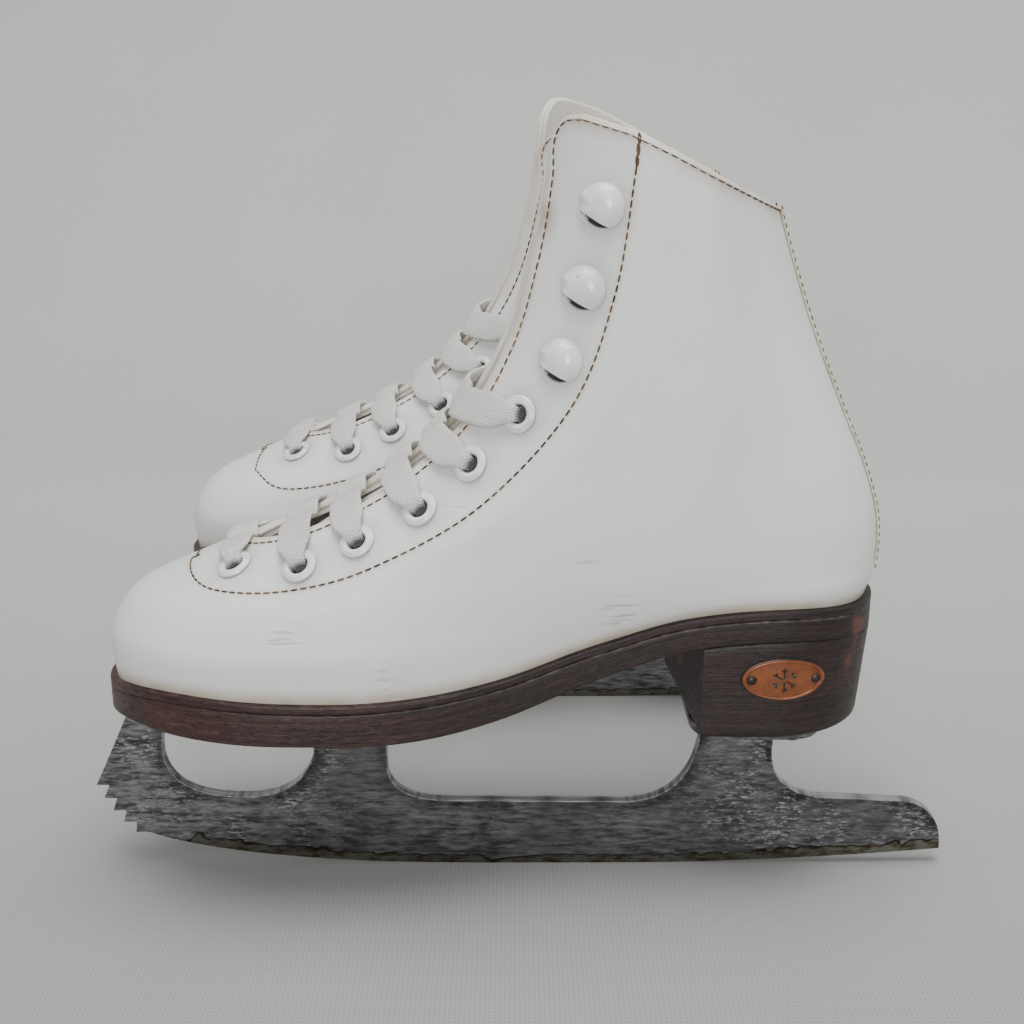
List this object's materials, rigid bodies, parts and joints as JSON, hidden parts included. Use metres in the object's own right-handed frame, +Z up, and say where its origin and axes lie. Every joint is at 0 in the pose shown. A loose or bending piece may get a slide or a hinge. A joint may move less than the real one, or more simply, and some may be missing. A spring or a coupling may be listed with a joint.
{
  "type": "figure skates",
  "caption": "Pair of white lace-up ankle boots on stacked dark soles and heels, each with a steel runner that has a toe pick.",
  "frame": {"origin": "on the ice, midway between the two skates and midway along the runners", "axes": "+X from toes to heels, +Z up; the left skate is at -Y and the right skate at +Y"},
  "size_m": [0.238, 0.1772, 0.2079],
  "materials": {
    "leather_white": "smooth coated leather, lightly scuffed and creased",
    "suede_cream": "napped suede strip",
    "lining_cloth": "brushed cloth lining",
    "fibre_board": "pressed leather board",
    "sole_brown": "dark stained, stacked and waxed",
    "blade_steel": "brushed along its length, ground at the edge",
    "enamel_white": "white enamel",
    "lace_cotton": "flat woven cotton",
    "badge_copper": "worn copper-coloured enamel"
  },
  "bodies": {
    "left_skate": {"left_upper": "leather_white", "left_eyelets_lateral": "enamel_white", "left_eyelets_medial": "enamel_white", "left_backstay": "suede_cream", "left_lining": "lining_cloth", "left_heel_counter": "fibre_board", "left_toe_puff": "fibre_board", "left_tongue_base": "leather_white", "left_lace": "lace_cotton", "left_insole_board": "fibre_board", "left_sock_liner": "lining_cloth", "left_shank": "blade_steel", "left_midsole": "sole_brown", "left_outsole": "sole_brown", "left_heel_block": "sole_brown", "left_badge": "badge_copper", "left_blade": "blade_steel", "left_front_plate": "blade_steel", "left_heel_plate": "blade_steel", "left_plate_screw_1": "blade_steel", "left_plate_screw_2": "blade_steel", "left_plate_screw_3": "blade_steel", "left_plate_screw_4": "blade_steel", "left_plate_screw_5": "blade_steel", "left_plate_screw_6": "blade_steel"},
    "left_tongue": {"left_tongue_flap": "leather_white"},
    "left_outer_quarter": {"left_quarter_lateral": "leather_white", "left_hooks_lateral": "enamel_white"},
    "left_inner_quarter": {"left_quarter_medial": "leather_white", "left_hooks_medial": "enamel_white"},
    "right_skate": {"right_upper": "leather_white", "right_eyelets_lateral": "enamel_white", "right_eyelets_medial": "enamel_white", "right_backstay": "suede_cream", "right_lining": "lining_cloth", "right_heel_counter": "fibre_board", "right_toe_puff": "fibre_board", "right_tongue_base": "leather_white", "right_lace": "lace_cotton", "right_insole_board": "fibre_board", "right_sock_liner": "lining_cloth", "right_shank": "blade_steel", "right_midsole": "sole_brown", "right_outsole": "sole_brown", "right_heel_block": "sole_brown", "right_badge": "badge_copper", "right_blade": "blade_steel", "right_front_plate": "blade_steel", "right_heel_plate": "blade_steel", "right_plate_screw_1": "blade_steel", "right_plate_screw_2": "blade_steel", "right_plate_screw_3": "blade_steel", "right_plate_screw_4": "blade_steel", "right_plate_screw_5": "blade_steel", "right_plate_screw_6": "blade_steel"},
    "right_tongue": {"right_tongue_flap": "leather_white"},
    "right_outer_quarter": {"right_quarter_lateral": "leather_white", "right_hooks_lateral": "enamel_white"},
    "right_inner_quarter": {"right_quarter_medial": "leather_white", "right_hooks_medial": "enamel_white"}
  },
  "joints": [
    {"name": "pair_spacing", "type": "slide", "parent": "left_skate", "child": "right_skate", "axis": [0, 1, 0], "range_m": [0, 0.15]},
    {"name": "left_tongue_fold", "type": "hinge", "parent": "left_skate", "child": "left_tongue", "pos_m": [-0.0085, -0.055, 0.1442], "axis": [0, -1, 0], "range_deg": [0, 35], "stiffness_Nm_per_rad": 0.3},
    {"name": "left_outer_quarter_fold", "type": "hinge", "parent": "left_skate", "child": "left_outer_quarter", "pos_m": [-0.00849, -0.0824, 0.14599], "axis": [0.8522, 0, 0.5232], "range_deg": [0, 18], "stiffness_Nm_per_rad": 0.6},
    {"name": "left_inner_quarter_fold", "type": "hinge", "parent": "left_skate", "child": "left_inner_quarter", "pos_m": [-0.00849, -0.0276, 0.14599], "axis": [-0.8522, 0, -0.5232], "range_deg": [0, 18], "stiffness_Nm_per_rad": 0.6},
    {"name": "right_tongue_fold", "type": "hinge", "parent": "right_skate", "child": "right_tongue", "pos_m": [-0.0085, 0.055, 0.1442], "axis": [0, -1, 0], "range_deg": [0, 35], "stiffness_Nm_per_rad": 0.3},
    {"name": "right_outer_quarter_fold", "type": "hinge", "parent": "right_skate", "child": "right_outer_quarter", "pos_m": [-0.00849, 0.0824, 0.14599], "axis": [-0.8522, 0, -0.5232], "range_deg": [0, 18], "stiffness_Nm_per_rad": 0.6},
    {"name": "right_inner_quarter_fold", "type": "hinge", "parent": "right_skate", "child": "right_inner_quarter", "pos_m": [-0.00849, 0.0276, 0.14599], "axis": [0.8522, 0, 0.5232], "range_deg": [0, 18], "stiffness_Nm_per_rad": 0.6}
  ]
}
